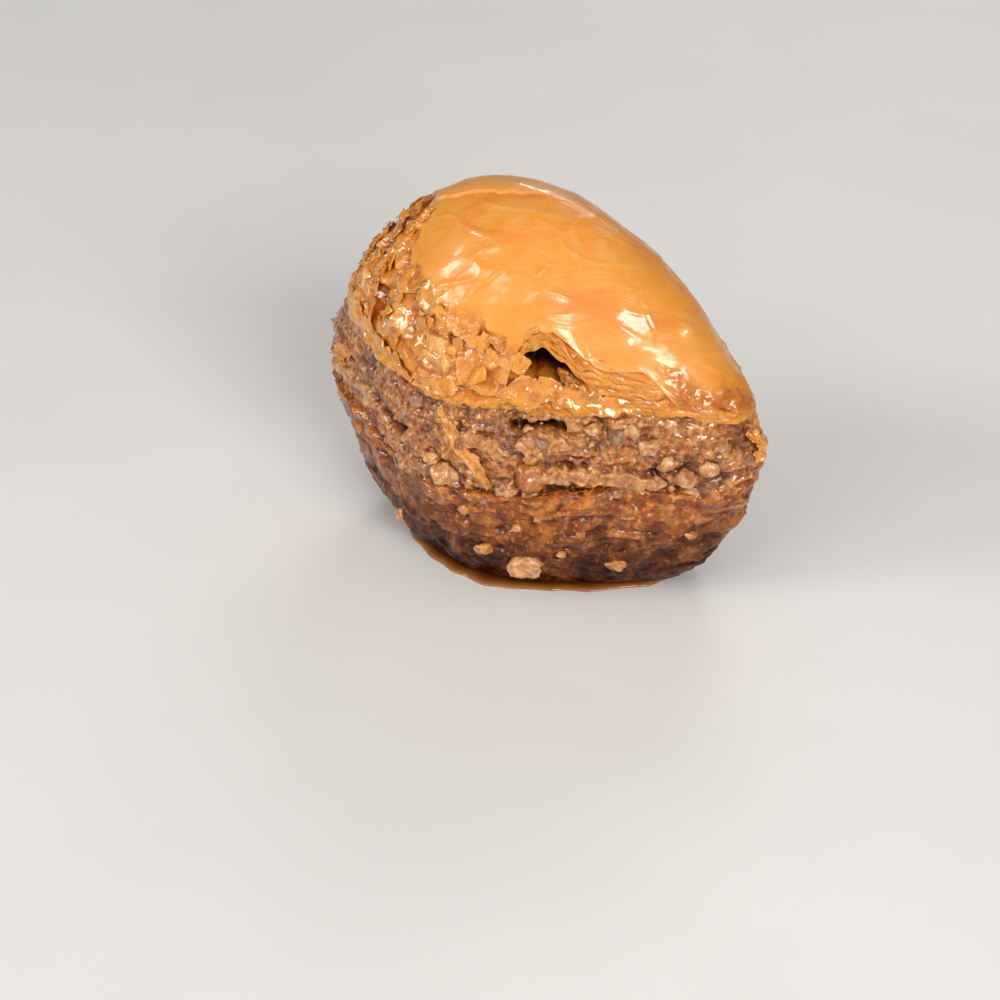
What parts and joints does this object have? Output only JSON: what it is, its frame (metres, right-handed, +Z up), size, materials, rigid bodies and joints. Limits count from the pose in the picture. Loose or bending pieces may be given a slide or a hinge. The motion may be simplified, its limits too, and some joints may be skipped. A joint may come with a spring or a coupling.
{
  "type": "baklava piece",
  "caption": "Puffed diamond-cut baklava piece: soaked leaf base, walnut filling and a domed filo crust.",
  "frame": {"origin": "middle of the piece's box, on the plane that it rests on", "axes": "+Z up; +X along the diamond's long way, towards the low right-hand corner; the broad cut face looks along -Y"},
  "size_m": [0.0558, 0.0386, 0.0492],
  "materials": {
    "soaked_filo": "filo leaves soaked dark brown with syrup, wet",
    "walnut_paste": "chopped walnuts bound with syrup, rough and moist",
    "baked_filo": "golden baked filo with a syrup glaze"
  },
  "bodies": {
    "root": {"base_leaves": "soaked_filo", "walnut_filling": "walnut_paste", "filo_crust": "baked_filo"}
  },
  "joints": []
}
